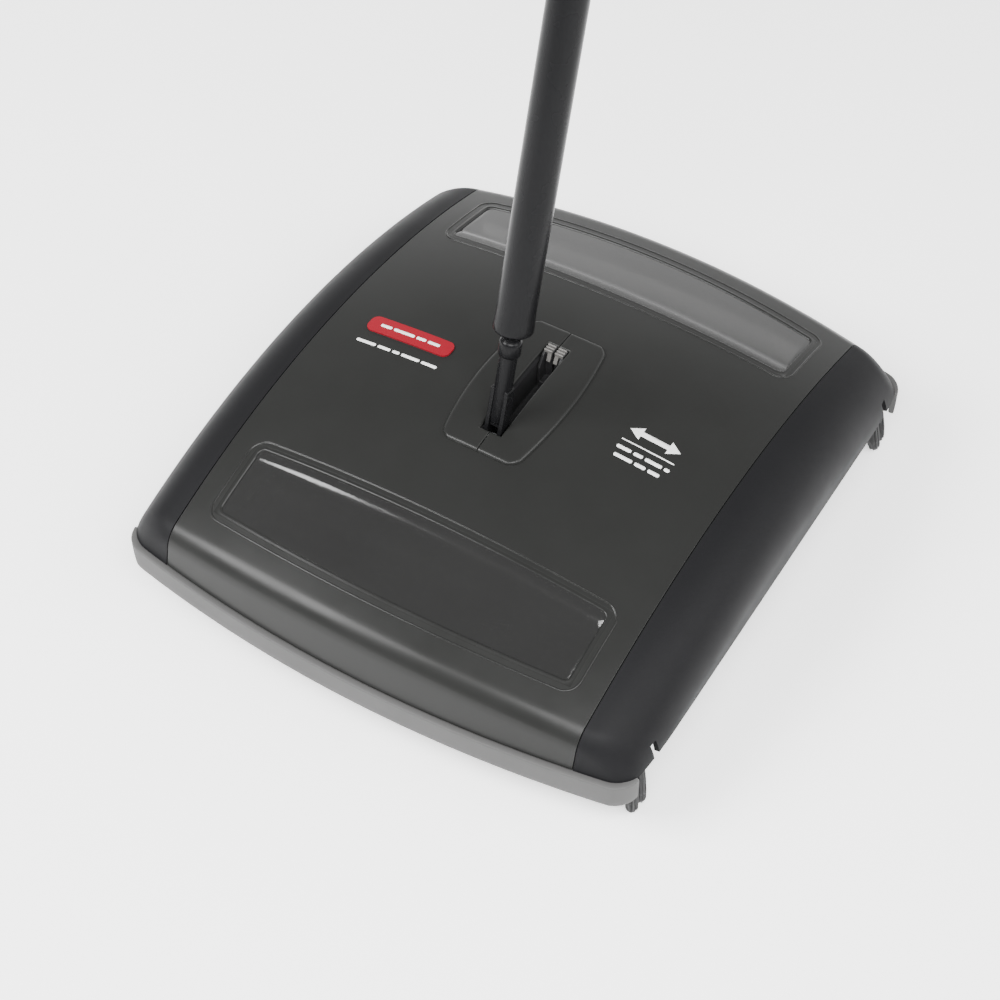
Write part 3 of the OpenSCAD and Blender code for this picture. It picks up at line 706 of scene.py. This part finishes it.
PANEL_L = panel_high[1]              # half length
PANEL_W = panel_high[0]              # half width at the middle
PANEL_END_W = 17.4                   # half width at the ends, before the corners
PANEL_R = 5.0
SPLIT = 0.16                         # half of the gap between the two halves
SLOT_L = 27.4
SLOT_W = 5.0
PANEL_RISE = 1.5


def panel_edge(y):
    """Half width of the barrel-shaped panel at a distance along it."""
    bulge = (PANEL_L ** 2 + (PANEL_W - PANEL_END_W) ** 2) / (2 * (PANEL_W - PANEL_END_W))
    edge = PANEL_W - (bulge - math.sqrt(bulge ** 2 - y * y))
    past = max(abs(y) - (PANEL_L - PANEL_R), 0.0)
    return edge - (PANEL_R - math.sqrt(max(PANEL_R ** 2 - past ** 2, 0.0)))


def roll(distance, radius):
    """Height of a rounded edge, from 0 at the edge to 1 a radius in."""
    t = min(max(distance / radius, 0.0), 1.0)
    return math.sqrt(1 - (1 - t) ** 2)


def panel_height(x, y, edge):
    """How far the panel stands above the cover at a point."""
    outer = min(edge - x, PANEL_L - abs(y) + 0.001)
    inner = math.hypot(max(x - SLOT_W, 0.0), max(abs(y) - SLOT_L, 0.0))
    split = x - SPLIT if abs(y) > SLOT_L else 9.0
    return PANEL_RISE * roll(outer, 1.8) * (0.45 + 0.55 * roll(inner, 0.9)) * (0.7 + 0.3 * roll(split, 0.5))


half_y = spaced([0.0, SLOT_L, SLOT_L + 1.0, PANEL_L - PANEL_R, PANEL_L - 1.2, PANEL_L - 0.25, PANEL_L],
                [18, 4, 4, 8, 5, 3])
panel_ys = np.concatenate([-half_y[::-1], half_y[1:]])
for side, name in ((-1, "left"), (1, "right")):
    points = []
    inner_steps = 7
    for y in panel_ys:
        edge = max(panel_edge(y), SLOT_W + 3.0)
        xs = np.concatenate([spaced([SPLIT, SPLIT + 0.5, SLOT_W], [3, inner_steps - 3]),
                             spaced([SLOT_W, SLOT_W + 1.0, edge - 1.8, edge - 0.3, edge], [4, 8, 5, 2])[1:]])
        heights = np.array([panel_height(x, y, edge) for x in xs])
        points.append(on_top(xs, np.full_like(xs, y), heights))
    points = np.array(points) * [side, 1, 1]
    mid = (panel_ys[:-1] + panel_ys[1:]) / 2
    keep = np.ones((len(panel_ys) - 1, points.shape[1] - 1), bool)
    keep[np.abs(mid) < SLOT_L, :inner_steps] = False
    panel = new_object(name + "_panel_half", points.reshape(-1, 3), grid_faces(*points.shape[:2], keep=keep))
    face_up(panel)
    solidify(panel, 3.4)
    round_edges(panel, 0.2)
    finish_piece(panel, "housing", "panel_plastic", mat_panel, name + "_pivot_panel")


# ---------------------------------------------------------------- ribbed catch at the end of the slot

def rounded_box(name, low, high, radius, segments=3):
    """A block with rounded edges, for small moulded parts."""
    obj = block(name, low, high)
    obj.data.shade_smooth()
    return bake_bevel(obj, radius, segments)


def bake_bevel(obj, radius, segments):
    round_edges(obj, radius, segments, 30)
    bpy.context.view_layer.update()
    return bake(obj)


def slot_plate(name, outline, x0, x1, radius):
    """A plate along the slot, from an outline given as (front to back, height)."""
    rings = [[(x, y, z) for y, z in outline] for x in (x0, x1)]
    verts, faces = tube_mesh(rings)
    obj = new_object(name, verts, faces, smooth=False)
    obj.data.shade_smooth()
    return bake_bevel(obj, radius, 2)


finger_back, finger_front = catch_high[1], catch_high[1] - 4.8
finger_top = catch_high[2]
ribs, blocks = [], []
for side in (-1, 1):
    x0, x1 = sorted((side * 0.5, side * 4.6))
    blocks.append(rounded_box("finger", [x0, finger_front + 0.3, catch_low[2] + 3],
                              [x1, finger_back, finger_top - 0.95], 0.3))
    for k in range(3):
        y = finger_front + 0.2 + k * 1.6
        ribs.append(rounded_box("rib", [x0 + 0.1, y, finger_top - 1.7], [x1 - 0.1, y + 0.85, finger_top - 0.05],
                                0.28))
    # leaf that runs down and forwards from each finger, next to the split
    x2, x3 = sorted((side * 0.7, side * 2.6))
    leaf = [(finger_front + 0.3, finger_top - 1.3), (finger_front + 1.1, finger_top - 1.3),
            (finger_front - 0.6, finger_top - 5.0), (finger_front - 1.4, finger_top - 5.0)]
    ribs.append(slot_plate("leaf", leaf, x2, x3, 0.2))
    x4, x5 = sorted((side * 3.6, side * 4.8))
    cheek = [(finger_front + 0.6, finger_top - 1.4), (finger_front + 0.6, catch_low[2] + 2),
             (catch_low[1], catch_low[2] + 2), (catch_low[1], finger_top - 7.0), (finger_front - 1.0, finger_top - 1.9)]
    blocks.append(slot_plate("cheek", cheek, x4, x5, 0.25))
blocks.append(rounded_box("base", [-4.8, catch_low[1], catch_low[2]], [4.8, finger_back, catch_low[2] + 3.2], 0.4))
finish_piece(join("catch_fingers", ribs), "housing", "catch_plastic", mat_catch, "handle_catch")
finish_piece(join("catch_block", blocks), "housing", "frame_plastic", mat_inner)


# ---------------------------------------------------------------- badge and printed sign, both plain

def decal(name, outline, centre, raise_by, thickness, material, slot, *nodes, spacing=1.2):
    """A thin plate on the cover whose plan outline is given round a centre."""
    bm = bmesh.new()
    ring = [bm.verts.new((x + centre[0], y + centre[1], 0.0)) for x, y in outline]
    bm.faces.new(ring)
    bmesh.ops.triangulate(bm, faces=bm.faces)
    xs = [v.co.x for v in bm.verts]
    ys = [v.co.y for v in bm.verts]
    for value in np.arange(min(xs) + spacing, max(xs), spacing):
        geom = bm.verts[:] + bm.edges[:] + bm.faces[:]
        bmesh.ops.bisect_plane(bm, geom=geom, plane_co=(value, 0, 0), plane_no=(1, 0, 0))
    for value in np.arange(min(ys) + spacing, max(ys), spacing):
        geom = bm.verts[:] + bm.edges[:] + bm.faces[:]
        bmesh.ops.bisect_plane(bm, geom=geom, plane_co=(0, value, 0), plane_no=(0, 1, 0))
    bm.verts.index_update()
    flat = np.array([v.co[:2] for v in bm.verts])
    verts = on_top(flat[:, 0], flat[:, 1], np.full(len(flat), raise_by))
    faces = [[v.index for v in f.verts] for f in bm.faces]
    bm.free()
    obj = new_object(name, verts, faces)
    face_up(obj)
    solidify(obj, thickness)
    return finish_piece(obj, "housing", slot, material, *nodes)


def rounded_outline(half_x, half_y, radius):
    points = []
    for cx, cy, start in ((1, 1, 0), (-1, 1, 90), (-1, -1, 180), (1, -1, 270)):
        points += arc(cx * (half_x - radius), cy * (half_y - radius), radius, start, start + 90, 8)
    return points


badge_mid = (badge_low + badge_high) / 2
badge_half = (badge_high - badge_low) / 2
badge_piece = decal("red_badge", rounded_outline(badge_half[0], badge_half[1], 3.2), badge_mid[:2], 0.75, 0.9,
                    mat_badge, "badge_red", "badge")
round_edges(badge_piece, 0.3, 3)


def bar_row(name, x, y, height, lengths, raise_by, gap=1.1):
    """A row of plain printed bars, where the original had words."""
    for k, length in enumerate(lengths):
        decal("%s_%d" % (name, k + 1), rounded_outline(length / 2, height / 2, height * 0.4),
              np.array([x + length / 2, y]), raise_by, 0.2, mat_print, "badge_red")
        x += length + gap


bar_row("badge_bar", badge_mid[0] - 14.6, badge_mid[1], 1.5, (5.4, 10.2, 4.6, 5.7), 0.92)
bar_row("caption_bar", badge_low[0] + 0.4, badge_low[1] - 6.4, 1.5, (9.6, 6.2, 3.4, 8.8, 7.4), 0.08)

# push and pull arrows over a thin line and two rows of bars, in place of the printed words
sign = np.array([58.4, -1.5])
arrow = [(-11.6, 0), (-6.2, 3.5), (-6.2, 1.25), (6.2, 1.25), (6.2, 3.5), (11.6, 0), (6.2, -3.5), (6.2, -1.25),
         (-6.2, -1.25), (-6.2, -3.5)]
decal("sign_arrow", arrow, sign + [0, 6.4], 0.08, 0.2, mat_print, "badge_red")
decal("sign_line", rounded_outline(12.0, 0.3, 0.2), sign, 0.08, 0.2, mat_print, "badge_red")
bar_row("sign_bar_upper", sign[0] - 12.0, sign[1] - 4.2, 1.7, (6.6, 4.2, 7.6, 2.4), 0.08)
bar_row("sign_bar_lower", sign[0] - 11.0, sign[1] - 8.6, 1.7, (8.4, 5.0, 5.2), 0.08)


# ---------------------------------------------------------------- handle

SLEEVE_S = 53.4
sleeve_low, sleeve_high = box_mm("handle_sleeve")
SLEEVE_END = SLEEVE_S + (sleeve_high[2] - sleeve_low[2]) / handle_dir[2] - 3.0
TUBE_R = 7.5
R_SLEEVE = TUBE_R + 0.5

sleeve_profile = ([(6.35, SLEEVE_S + 1.4), (6.9, SLEEVE_S + 0.5)]
                  + arc(7.2, SLEEVE_S + 1.15, 1.15, 250, 360, 8)
                  + [(R_SLEEVE + 0.28, SLEEVE_S + 3.2), (R_SLEEVE + 0.1, SLEEVE_S + 6.5), (R_SLEEVE, SLEEVE_S + 10.0)]
                  + [(R_SLEEVE, s) for s in np.linspace(SLEEVE_S + 20, SLEEVE_END - 1.0, 12)]
                  + [(R_SLEEVE - 0.12, SLEEVE_END - 0.3), (TUBE_R + 0.02, SLEEVE_END)])
finish_piece(lathe("sleeve_moulding", sleeve_profile, 72), "handle", "handle_plastic", mat_handle, "handle_sleeve")

collar_profile = [(3.72, 41.4), (4.45, 42.0), (4.68, 42.7), (4.7, 47.6), (4.5, 48.5), (3.9, 49.0), (3.72, 49.2)]
finish_piece(lathe("stem_collar", collar_profile, 48), "handle", "handle_plastic", mat_handle, "handle_collar")

stem_profile = [(0.0, 9.6), (3.2, 9.6), (3.6, 10.4), (3.7, 14.0), (3.7, 24.0), (3.7, 28.0), (3.7, 41.0),
                (3.7, 51.0),
                (4.2, 52.0), (6.3, 52.3), (6.3, 60.0), (0.0, 60.0)]
stem = lathe("stem", stem_profile, 48)


def on_handle(x, across, along):
    """A point given across the width, front to back, and along the handle."""
    back = np.cross(handle_dir, [1.0, 0.0, 0.0])
    return pivot + np.array([x, 0, 0]) - back * across + handle_dir * along


def handle_plate(name, outline, x0, x1, radius):
    """A plate across the handle, from an outline given as (front to back, along)."""
    rings = [[on_handle(x, a, s) for a, s in outline] for x in (x0, x1)]
    verts, faces = tube_mesh(rings)
    obj = new_object(name, verts, faces, smooth=False)
    obj.data.shade_smooth()
    return bake_bevel(obj, radius, 2)


# outline of a cheek of the fork: an eye round the pivot pin, then a tapering arm
eye = arc(0, 0, 4.5, 180, 360, 17) + [(3.6, 9.0), (3.2, 18.0), (3.1, 26.0), (-2.7, 26.0), (-2.7, 18.0),
                                      (-2.8, 9.0)]
cheeks = [handle_plate("cheek", eye, s * 2.2, s * 4.1, 0.4) for s in (-1, 1)]
web = handle_plate("web", [(-2.6, 8), (2.6, 8), (2.6, 40), (-2.6, 40)], -2.2, 2.2, 0.3)
finish_piece(join("stem_fork", [stem, web] + cheeks), "handle", "handle_plastic", mat_handle, "handle_yoke")

grip_low, grip_high = box_mm("hand_grip")
grip_end = handle_len - 12.0
grip_start = grip_end - (grip_high[2] - grip_low[2]) / handle_dir[2] + 6.5
grip_profile = [(TUBE_R, grip_start), (12.2, grip_start), (12.9, grip_start + 0.6), (12.9, grip_start + 2.4),
                (12.2, grip_start + 3.2)]
ribs_s = np.arange(grip_start + 6.0, grip_end - 8.0, 1.1)
grip_profile += [(11.75 + 0.25 * math.cos((s - grip_start) * 2 * math.pi / 8.8), s) for s in ribs_s]
grip_profile += [(11.9, grip_end - 4.0), (11.5, grip_end - 1.0), (10.6, grip_end), (TUBE_R, grip_end)]
finish_piece(lathe("grip_foam", grip_profile, 72), "handle", "grip_rubber", mat_grip, "hand_grip")

# hanging cap: a shoulder, and a flat tongue with a rounded hole
cap_base = handle_len - 12.0
cap_turned = lathe("cap_turned", [(6.4, cap_base - 8), (6.4, cap_base), (11.6, cap_base), (12.3, cap_base + 0.5),
                                  (12.4, cap_base + 1.4), (11.6, cap_base + 2.4), (8.0, cap_base + 3.6),
                                  (0.0, cap_base + 3.8)], 64)
tongue_rings = []
for along in (0, 1):
    for x in ((-4.0, 4.0) if along == 0 else (4.0, -4.0)):
        radius = (9.9, 3.6)[along]
        tongue_rings.append([on_handle(x, radius * math.cos(a), handle_len + radius * math.sin(a))
                             for a in np.linspace(0, 2 * math.pi, 48, endpoint=False)])
tongue_rings = np.array(tongue_rings)
tongue = new_object("tongue", tongue_rings.reshape(-1, 3), grid_faces(4, 48, wrap_rows=True, wrap_cols=True))
bake_bevel(tongue, 0.8, 3)
foot_outline = [(-8.6, handle_len - 11), (8.6, handle_len - 11), (9.6, handle_len - 2), (-9.6, handle_len - 2)]
foot_block = handle_plate("foot", foot_outline, -3.9, 3.9, 0.6)
finish_piece(join("hang_tongue", [cap_turned, tongue, foot_block]), "handle", "handle_plastic", mat_handle,
             "hang_cap")


# ---------------------------------------------------------------- corner bristle tufts

def bristle_tuft(rng, root, tip, spread, count):
    """Vertices and faces of a bundle of stiff, slightly bent bristles with a rounded end."""
    verts, faces = [], []
    for _ in range(count):
        a = rng.uniform(0, 2 * math.pi)
        r = math.sqrt(rng.random())
        out = np.array([math.cos(a), math.sin(a), 0.0])
        start = root + out * r * 1.9
        end = tip + out * r * spread + [rng.uniform(-0.15, 0.15), rng.uniform(-0.15, 0.15), 0.0]
        end[2] += (root[2] - tip[2]) * (0.09 * r ** 4 + 0.012 * rng.random())
        thick = rng.uniform(0.24, 0.34)
        base = len(verts)
        for t in np.linspace(0, 1, 6):
            c = start + (end - start) * t + out * r * 0.7 * math.sin(math.pi * t) * t
            w = thick * (1.0 if t < 0.95 else 0.6)
            for k in range(5):
                b = 2 * math.pi / 5 * k + a
                verts.append(c + np.array([math.cos(b) * w, math.sin(b) * w, 0.0]))
        faces += [tuple(base + i for i in f) for f in grid_faces(6, 5, wrap_cols=True)]
        faces.append(tuple(base + 25 + k for k in (4, 3, 2, 1, 0)))
    return verts, faces


for name, sx, sy in (("front_left", -1, -1), ("front_right", 1, -1), ("rear_left", -1, 1), ("rear_right", 1, 1)):
    low, high = box_mm(name + "_tufts")
    rng = random.Random(7 + sx + 3 * sy)
    verts, faces = [], []
    near = np.array([min(abs(low[0]), abs(high[0])), min(abs(low[1]), abs(high[1]))])
    for k in (0, 1):
        root = np.array([sx * (near[0] + 2.3), sy * (near[1] + 2.5 + 6.0 * k), high[2] - 1.0])
        tip = root + np.array([sx * (3.8 - 0.5 * k), sy * (3.2 - 0.4 * k), 0.0])
        tip[2] = low[2] + 0.4
        v, f = bristle_tuft(rng, root, tip, 2.55, 170)
        faces += [tuple(len(verts) + i for i in face) for face in f]
        verts += v
    tufts = new_object(name + "_bristles", verts, faces, merge=0.0005)
    finish_piece(tufts, "housing", "bristle", mat_bristle, name + "_tufts")


# ---------------------------------------------------------------- pan springs

def coil(name, x0, x1, y, z, radius, wire, turns):
    """A wound spring round a hinge rod."""
    count = turns * 20
    rings = []
    for i in range(count + 1):
        t = i / count
        a = 2 * math.pi * turns * t
        centre = np.array([x0 + (x1 - x0) * t, y + radius * math.cos(a), z + radius * math.sin(a)])
        radial = np.array([0.0, math.cos(a), math.sin(a)])
        rings.append([centre + radial * wire * math.cos(b) + np.array([1.0, 0, 0]) * wire * math.sin(b)
                      for b in np.linspace(0, 2 * math.pi, 8, endpoint=False)])
    verts, faces = tube_mesh(rings)
    return new_object(name, verts, faces)


rod_low, rod_high = box_mm("front_hinge_rod")
spring_high = box_mm("pan_springs")[1]
rod_z = (rod_low[2] + rod_high[2]) / 2
rod_y = (rod_low[1] + rod_high[1]) / 2
spring_w = 4.4
coils = []
for sx in (-1, 1):
    for sy in (-1, 1):
        outer = sx * (spring_high[0] - 0.2)
        coils.append(coil("coil", outer - sx * spring_w, outer, sy * abs(rod_y), rod_z, 3.45, 0.45, 5))
finish_piece(join("pan_spring_coils", coils), "housing", "steel", mat_steel, "pan_springs")


# ---------------------------------------------------------------- CAD parts that keep their shape

keeps = {
    mat_inner: ["pivot_well", "brush_holders"],
    mat_steel: ["handle_pivot_pin", "wheel_axles", "axle_clips", "front_hinge_rod", "rear_hinge_rod",
                "cover_screws", "rotor_shaft"],
    mat_plate: ["left_side_plate", "right_side_plate"],
    mat_nylon: ["rotor_bushes"],
    mat_tube: ["lower_tube", "middle_tube", "upper_tube"],
    mat_joiner: ["lower_joiner", "upper_joiner"],
    mat_core: ["rotor_core"],
    mat_rubber: ["rotor_blades", "left_drive_roller", "right_drive_roller", "front_left_tyre", "front_right_tyre",
                 "rear_left_tyre", "rear_right_tyre", "front_pan_lip", "rear_pan_lip"],
    mat_hub: ["front_left_hub", "front_right_hub", "rear_left_hub", "rear_right_hub"],
    mat_pan: ["front_pan", "rear_pan"],
}
for material, nodes in keeps.items():
    for node in nodes:
        obj = frame["nodes"][node]
        obj.data.materials.clear()
        obj.data.materials.append(material)


# ---------------------------------------------------------------- stage, light and camera

FLOOR_GLOW = 0.6                     # the floor's own light
ROOM_LIGHT = 0.35                    # even light from all round
BAND_LIGHT = 1.6                     # extra light from low behind the sweeper


def floor_material():
    n = Nodes("studio_floor")
    n.link(n.mix(n.spread(n.noise(3.0, 2.0), 0.0, 1.0), (0.90, 0.90, 0.90, 1), (0.92, 0.92, 0.92, 1)),
           n.shader.inputs["Base Color"])
    n.shader.inputs["Roughness"].default_value = 0.9
    n.shader.inputs["Specular IOR Level"].default_value = 0.1
    n.shader.inputs["Emission Color"].default_value = (1.0, 1.0, 1.0, 1.0)
    n.shader.inputs["Emission Strength"].default_value = FLOOR_GLOW
    return n.material


floor_mesh = bpy.data.meshes.new("floor")
floor_mesh.from_pydata([(-6, -6, 0), (6, -6, 0), (6, 6, 0), (-6, 6, 0)], [], [(0, 1, 2, 3)])
floor = bpy.data.objects.new("floor", floor_mesh)
bpy.context.scene.collection.objects.link(floor)
floor.data.materials.append(floor_material())


def area_light(name, place, target, size, power, shape_y=None):
    """A soft rectangular light, placed and aimed in metres."""
    data = bpy.data.lights.new(name, "AREA")
    data.energy = power
    data.size = size
    if shape_y:
        data.shape = "RECTANGLE"
        data.size_y = shape_y
    light = bpy.data.objects.new(name, data)
    light.location = place
    light.rotation_euler = (Vector(target) - Vector(place)).to_track_quat("-Z", "Y").to_euler()
    bpy.context.scene.collection.objects.link(light)
    return light


area_light("key_left", (-0.88, -0.85, 1.17), (0, 0, 0.05), 0.9, 60.0, 0.8)
area_light("key_right", (0.62, -0.77, 1.40), (0, 0, 0.05), 1.3, 68.0, 0.9)
area_light("fill", (1.7, 0.3, 1.2), (0, 0, 0.05), 1.2, 34.0)


def studio_world():
    """A dim room with a paler band low behind the sweeper."""
    world = bpy.data.worlds.new("studio")
    world.use_nodes = True
    tree = world.node_tree
    axes = tree.nodes.new("ShaderNodeSeparateXYZ")
    tree.links.new(tree.nodes.new("ShaderNodeTexCoord").outputs["Generated"], axes.inputs["Vector"])

    def ramp(value, start, end, low, high):
        node = tree.nodes.new("ShaderNodeMapRange")
        node.interpolation_type = "SMOOTHSTEP"
        for key, number in (("From Min", start), ("From Max", end), ("To Min", low), ("To Max", high)):
            node.inputs[key].default_value = number
        tree.links.new(value, node.inputs["Value"])
        return node.outputs["Result"]

    band = tree.nodes.new("ShaderNodeMath")
    band.operation = "MULTIPLY"
    tree.links.new(ramp(axes.outputs["Z"], 0.25, 0.72, 1.0, 0.0), band.inputs[0])
    tree.links.new(ramp(axes.outputs["Y"], 0.1, 0.6, 0.0, BAND_LIGHT), band.inputs[1])
    total = tree.nodes.new("ShaderNodeMath")
    total.operation = "ADD"
    total.inputs[1].default_value = ROOM_LIGHT
    tree.links.new(band.outputs[0], total.inputs[0])
    tree.links.new(total.outputs[0], tree.nodes["Background"].inputs["Strength"])
    tree.nodes["Background"].inputs["Color"].default_value = (1.0, 1.0, 1.0, 1.0)
    return world


bpy.context.scene.world = studio_world()

# camera at the photograph's viewing angle: turn round the body, height above it, and roll
AZIMUTH = math.radians(31.753)
ELEVATION = math.radians(50.306)
ROLL = math.radians(-0.502)
CAMERA_PLACE = (0.3175, -0.5335, 0.7525)
CAMERA_LENS = 80.5
SENSOR_WIDTH = 36.0
backwards = Vector((math.sin(AZIMUTH) * math.cos(ELEVATION), -math.cos(AZIMUTH) * math.cos(ELEVATION),
                    math.sin(ELEVATION)))
level = Vector((math.cos(AZIMUTH), math.sin(AZIMUTH), 0.0))
upright = backwards.cross(level)
right = level * math.cos(ROLL) + upright * math.sin(ROLL)
up = upright * math.cos(ROLL) - level * math.sin(ROLL)
camera_data = bpy.data.cameras.new("camera")
camera_data.lens = CAMERA_LENS
camera_data.sensor_width = SENSOR_WIDTH
camera = bpy.data.objects.new("camera", camera_data)
camera.matrix_world = Matrix.Translation(CAMERA_PLACE) @ Matrix((right, up, backwards)).transposed().to_4x4()
bpy.context.scene.collection.objects.link(camera)
bpy.context.scene.camera = camera


# ---------------------------------------------------------------- end

bpy.context.view_layer.update()
